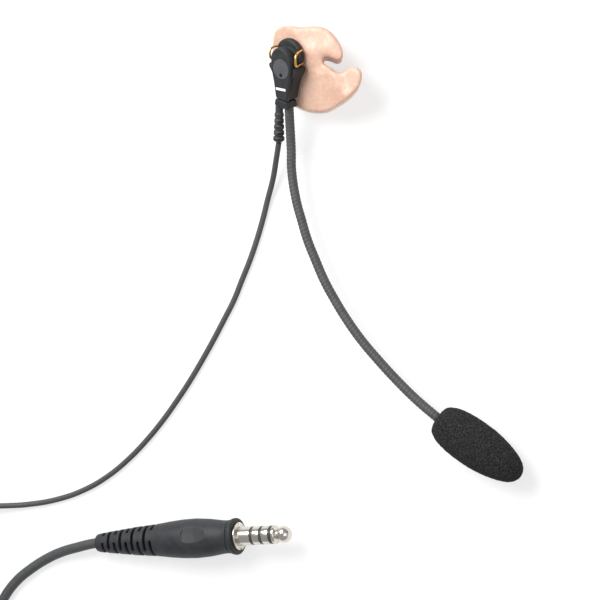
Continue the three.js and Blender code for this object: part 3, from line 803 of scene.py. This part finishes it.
def gooseneck():  # one ribbed sleeve, cut midway between the hinges
    pitch, crest, root = boom["pitch"], boom["crest"], boom["root"]
    turns = math.ceil(boom["length"] / pitch) + 3
    profile = [(root, 0), (root + 0.05, 0.22), (crest - 0.03, 0.45), (crest, 0.72), (crest - 0.03, 1.0),
               (root + 0.05, 1.23), (root, pitch)]
    sleeve = chain("gooseneck", [vec(r, 0, h - 1.5 * pitch) for r, h in profile])
    addModifier(sleeve, "SCREW", axis="Z", screw_offset=pitch * mm, steps=boom["steps"],
                render_steps=boom["steps"], iterations=turns, use_merge_vertices=True, merge_threshold=weld)
    applyModifiers(sleeve)
    tidyNormals(sleeve)
    guide = curveThrough("boom_guide", boomRoute, 0, boom["routeSteps"])
    joints = boom["joints"]
    middles = [(a + b) / 2 for a, b in zip(joints, joints[1:])]
    stops = [0] + middles + [boom["length"]]
    lengths = []
    for index, (low, high) in enumerate(zip(stops, stops[1:])):
        length = copyOf(sleeve, "gooseneck_" + str(index + 1))
        editing(length)
        for height, way in ((low, -1), (high, 1)):
            bpy.ops.mesh.select_all(action="SELECT")
            bpy.ops.mesh.bisect(plane_co=(0, 0, height * mm), plane_no=(0, 0, way), use_fill=True,
                                clear_outer=True)
        doneEditing()
        tidyNormals(length)
        addModifier(length, "CURVE", object=guide, deform_axis="POS_Z")
        applyModifiers(length)
        lengths.append(length)
    bpy.data.objects.remove(sleeve, do_unlink=True)
    bpy.data.objects.remove(guide, do_unlink=True)
    return lengths


def pointsAlong(route):
    guide = asMesh(curveThrough("measure", route, 0, boom["routeSteps"]))
    points = [v.co.copy() for v in guide.data.vertices]
    bpy.data.objects.remove(guide, do_unlink=True)
    return points


def alongBoom(distance):  # the point on the route at that length in millimetres
    left = distance * mm
    for a, b in zip(fineRoute, fineRoute[1:]):
        if (b - a).length >= left:
            return a.lerp(b, left / (b - a).length)
        left -= (b - a).length
    return fineRoute[-1]


lengths = gooseneck()
fineRoute = pointsAlong(boomRoute)
links = [("boom_base", "boom_link_1"), ("boom_link_2",), ("boom_link_3",), ("boom_link_4",),
         ("boom_link_5",)]
for index, length in enumerate(lengths):
    finishPiece(length, None, "boom_sleeve", *links[index], angle=60, crisp=False)
    at = boom["joints"][index]
    before, after = boomBodies[index], boomBodies[index + 1]
    tuple(alongBoom(at - boom["bendReach"]))
    tuple(alongBoom(at + boom["bendReach"]))
    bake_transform(length)
print("gooseneck made")


# microphone and windscreen

mic = {"start": (19.053, -62.161, 8.7), "vents": 8, "holeRadius": 0.24,
       "holeRings": ((0, 1), (0.8, 6), (1.6, 12))}
micFrame = micWay.to_track_quat("Z", "Y").to_matrix().to_4x4()
micFrame.translation = vec(*mic["start"])

collar = turned("tip_collar", filleted([(0, 0), (2.0, 0), (2.4, 0.5), (2.45, 1.6), (2.2, 2.2), (0, 2.2)],
                                       0.25), 48)
place(collar, micFrame)
finishPiece(collar, "mic", "black_plastic", "boom_tip_collar")

rear = turned("mic_rear_shell", filleted([
    (0, 2.5), (2.6, 2.5), (3.3, 3.3), (3.3, 5.0), (3.05, 5.15), (3.05, 5.45), (3.3, 5.6), (3.3, 9.6),
    (3.1, 10.0), (2.9, 10.0), (2.9, 3.5), (0, 3.5)], 0.12), 56)
place(rear, micFrame)
finishPiece(rear, "mic", "black_plastic", "mic_housing_rear")

shell = turned("mic_front_shell", filleted([
    (2.9, 10.3), (3.1, 10.3), (3.3, 10.5), (3.3, 17.1), (3.0, 17.5), (2.9, 17.5), (2.9, 10.3)], 0.1), 56)
for turn in range(mic["vents"]):
    vent = block(2.5, 3.8, -0.35, 0.35, 12.0, 15.8)
    softenEdges(vent, 0.25)
    place(vent, Matrix.Rotation(math.radians(360 / mic["vents"] * turn), 4, "Z"))
    carve(shell, vent)
place(shell, micFrame)
finishPiece(shell, "mic", "black_plastic", "mic_housing_front")

mesh = turned("mic_mesh", filleted([(0, 16.5), (2.6, 16.5), (2.6, 17.1), (1.4, 17.25), (0, 17.3)], 0.15), 40)
holes = []
for ringRadius, count in mic["holeRings"]:
    for turn in range(count):
        angle = 2 * math.pi * turn / count
        holes.append(cylinder(mic["holeRadius"], -19, -15, 12, ringRadius * math.cos(angle),
                              ringRadius * math.sin(angle)))
carve(mesh, joined(holes, "holes"))
place(mesh, micFrame)
finishPiece(mesh, "mic", "nickel", "mic_grille")

foam = {"voxel": 0.3, "smoothing": 3, "grain": 0.32, "grainSize": 0.75, "start": 0.33}


def windscreenPiece():
    skin = [(3.5, 0.6), (3.7, 0.1), (4.6, 0), (5.4, 0.3), (6.1, 1.0), (7.0, 2.7), (7.65, 4.6), (8.05, 6.5),
            (8.35, 8.6), (8.6, 11.5), (8.68, 14.4), (8.66, 17), (8.55, 20), (8.1, 23.8), (7.35, 27.6),
            (6.35, 31.2), (5.6, 33.2), (4.6, 35.2), (3.2, 36.8), (1.6, 37.7), (0, 38)]
    cavity = [(0, 17.6), (3.45, 17.6), (3.5, 0.9)]
    cover = turned("windscreen_foam", [(r, h + foam["start"]) for r, h in skin] + cavity, 72)
    remeshed(cover, foam["voxel"], foam["smoothing"])
    grain = bpy.data.textures.new("foam_grain", "CLOUDS")
    grain.noise_scale = foam["grainSize"] * mm
    grain.noise_depth = 2
    addModifier(cover, "DISPLACE", texture=grain, strength=foam["grain"] * mm, mid_level=0.5)
    applyModifiers(cover)
    place(cover, micFrame)
    return finishPiece(cover, "windscreen_body", "foam", "windscreen", angle=80, crisp=False)


windscreenPiece()
print("microphone made")


# plug

plug = {"shoulder": 64.2, "rows": 9, "firstRow": 4.45, "rowPitch": 2.84, "slot": 1.2, "core": 2.5,
        "reach": 12, "span": 138, "firstSlot": 158, "dimpleAt": 47.1, "dimpleOut": 7.6, "dimpleRadius": 5.9,
        "dimpleTurn": -15, "bore": 1.5, "contactsFrom": 63.4, "gap": 0.3}
bootFrame = plugFrame @ Matrix.Translation(vec(0, 0, -plug["shoulder"]))


def handlePiece():
    profile = filleted([
        (0, 0), (2.4, 0), (3.45, 0.6), (3.85, 2.8), (4.45, 8.1), (5.6, 18.7), (6.2, 26.8), (6.65, 31),
        (6.95, 33.1), (7.5, 39), (7.7, 45), (7.3, 51), (6.45, 56.9), (6.35, 59.3), (6.6, 60.7),
        (0, 60.7)], 1.0)
    handle = turned("plug_handle_grip", profile, 64)
    heights = [plug["firstRow"] + plug["rowPitch"] * row for row in range(plug["rows"])]
    carve(handle, staggeredSlots(heights, plug["slot"], plug["core"], plug["reach"], plug["span"],
                                 plug["firstSlot"]))
    wide = plug["dimpleRadius"]
    dish = turned("dish", [(0, -1), (4.9, -0.6), (wide, 0.2), (wide, 3), (0, 3)], 40)
    place(dish, Matrix.Rotation(math.radians(plug["dimpleTurn"]), 4, "Z")
          @ Matrix.Translation(vec(0, plug["dimpleOut"], plug["dimpleAt"]))
          @ Matrix.Rotation(math.radians(-90), 4, "X"))
    carve(handle, dish)
    remeshed(handle, 0.22, 4)
    place(handle, bootFrame)
    return finishPiece(handle, "head", "plug_moulding", "plug_handle", crisp=False)


def turnedOnPlug(name, node, slot, profile, fillet):
    obj = turned(name, filleted(profile, fillet), 72)
    place(obj, bootFrame)
    return finishPiece(obj, "head", slot, node)


def bandOnPlug(name, node, slot, start, length, radius):
    bore, end = plug["bore"], start + length
    return turnedOnPlug(name, node, slot, [
        (bore, start), (radius, start), (radius, start + length / 2), (radius, end), (bore, end),
        (bore, start)], 0.1)


onPlug = [handlePiece()]
onPlug.append(turnedOnPlug("collar_rim", "plug_collar", "black_plastic", [
    (0, 60.8), (6.55, 60.8), (6.9, 61.4), (7.1, 62.2), (7.1, 62.8), (6.8, 63.25), (6.1, 63.3), (5.5, 63.1),
    (0, 63.1)], 0.35))
nut = turned("lock_nut", filleted([
    (3.62, 63.1), (5.35, 63.1), (5.35, 64.0), (5.1, 64.2), (3.62, 64.2), (3.62, 63.1)], 0.1), 72)
for turn in range(2):
    notch = block(4.5, 6.5, -0.65, 0.65, 63.6, 65)
    place(notch, Matrix.Rotation(math.radians(180 * turn), 4, "Z"))
    carve(nut, notch)
softenEdges(nut, 0.06, 2, 50)
place(nut, bootFrame)
onPlug.append(finishPiece(nut, "head", "nickel", "plug_nut"))

band = {"nickel": {"radius": 3.58, "reach": 0.4}, "insulator": {"radius": 3.52, "reach": -0.1}}
at = plug["contactsFrom"]
for name, node, slot, length in (
        ("sleeve_contact", "plug_sleeve", "nickel", 5.8),
        ("insulator_band_1", "insulator_ring_1", "insulator", 1.4),
        ("ring_band_1", "ring_contact_1", "nickel", 2.05),
        ("insulator_band_2", "insulator_ring_2", "insulator", 1.4),
        ("ring_band_2", "ring_contact_2", "nickel", 2.05),
        ("insulator_band_3", "insulator_ring_3", "insulator", 1.4)):
    reach = band[slot]["reach"]
    onPlug.append(bandOnPlug(name, node, slot, at - reach, length + 2 * reach, band[slot]["radius"]))
    at += length + plug["gap"]
onPlug.append(turnedOnPlug("tip_contact", "plug_tip", "nickel", [
    (0, at - 0.4), (3.58, at - 0.4), (3.58, at + 0.7), (3.0, at + 1.1), (2.3, at + 1.5), (2.3, at + 1.8),
    (2.8, at + 2.4), (3.2, at + 3.3), (3.25, at + 4.2), (2.95, at + 5.2), (2.2, at + 6.2), (1.1, at + 6.8),
    (0, at + 6.9)], 0.4))
print("plug made")


# inline junction and coil tie

junction = {"way": (-1, -0.02, 0), "at": (-174.9, -100.1, 3.4)}
junctionFrame = Vector(junction["way"]).normalized().to_track_quat("Z", "Y").to_matrix().to_4x4()
junctionFrame.translation = vec(*junction["at"])
spindle = turned("junction_spindle", filleted([
    (0, 0), (1.5, 0), (1.9, 0.6), (2.6, 2.4), (3.2, 4.0), (3.4, 5.5), (3.25, 6.0), (3.4, 6.5), (3.4, 13.5),
    (3.25, 14.0), (3.4, 14.5), (3.25, 16.2), (2.9, 18.2), (2.6, 19.6), (2.3, 20), (0, 20)], 0.5), 48)
strapSize = {"across": 6.55, "low": 0.02, "high": 8.35, "wide": 7, "corner": 2.2, "thick": 0.55,
             "edge": 0.18, "angle": 200, "lift": 0.3}
place(spindle, junctionFrame)
finishPiece(spindle, "head", "black_plastic", "cable_joint")


def coilTie():  # a soft strap round all the turns
    across, low, high, wide = (strapSize[key] for key in ("across", "low", "high", "wide"))
    section = filleted([(-across, low), (across, low), (across, high), (-across, high)],
                       strapSize["corner"], True, 6)
    ring = [Vector((x, -wide / 2, z)) for x, z in section]
    strap = chain("coil_tie", [point * mm for point in ring])
    selectEnds(strap, ring[0], ring[-1])
    bpy.ops.mesh.edge_face_add()
    bpy.ops.mesh.select_all(action="SELECT")
    bpy.ops.mesh.extrude_region_move(TRANSFORM_OT_translate={"value": (0, wide * mm, 0)})
    doneEditing()
    tidyNormals(strap)
    addModifier(strap, "SOLIDIFY", thickness=strapSize["thick"] * mm, offset=0)
    addModifier(strap, "BEVEL", width=strapSize["edge"] * mm, segments=3)
    applyModifiers(strap)
    x, y = plugLead["coilCentre"]
    turn = math.radians(strapSize["angle"])
    middle = plugLead["inner"] + plugLead["pitch"]
    centre = vec(x + middle * math.cos(turn), y + middle * math.sin(turn), strapSize["lift"])
    place(strap, Matrix.Translation(centre) @ Matrix.Rotation(turn, 4, "Z"))
    return finishPiece(strap, "head", "black_plastic")


tie = coilTie()
print("junction and tie made")


# studio

bpy.ops.object.select_all(action="DESELECT")
studio = {"floorSize": 4, "floorGlow": 0.68, "sky": 0.4}
bpy.ops.mesh.primitive_plane_add(size=studio["floorSize"], location=(0, 0, 0))
floor = bpy.context.object
floor.name = "floor"
paper = Finish("paper", Roughness=0.9, Emission_Color=(1, 1, 1, 1), Emission_Strength=studio["floorGlow"])
paper.set(Base_Color=paper.blend(paper.noise(40, 2), (0.31, 0.31, 0.31), (0.33, 0.33, 0.33)))
floor.data.materials.append(paper.material)

scene.world = bpy.data.worlds.new("studio")
scene.world.use_nodes = True
sky = scene.world.node_tree.nodes["Background"].inputs
sky["Color"].default_value = (1, 1, 1, 1)
sky["Strength"].default_value = studio["sky"]
scene.view_settings.view_transform = "Standard"

lamps = {
    "key": {"at": (-280, 360, 640), "size": 520, "power": 8.0},
    "fill": {"at": (420, -120, 520), "size": 420, "power": 0.8},
}
for name, lamp in lamps.items():
    data = bpy.data.lights.new(name, "AREA")
    data.size = lamp["size"] * mm
    data.energy = lamp["power"]
    obj = bpy.data.objects.new(name, data)
    bpy.context.collection.objects.link(obj)
    obj.location = vec(*lamp["at"])
    obj.rotation_euler = (vec(*camera["aim"]) - obj.location).to_track_quat("-Z", "Y").to_euler()
print("studio lit")
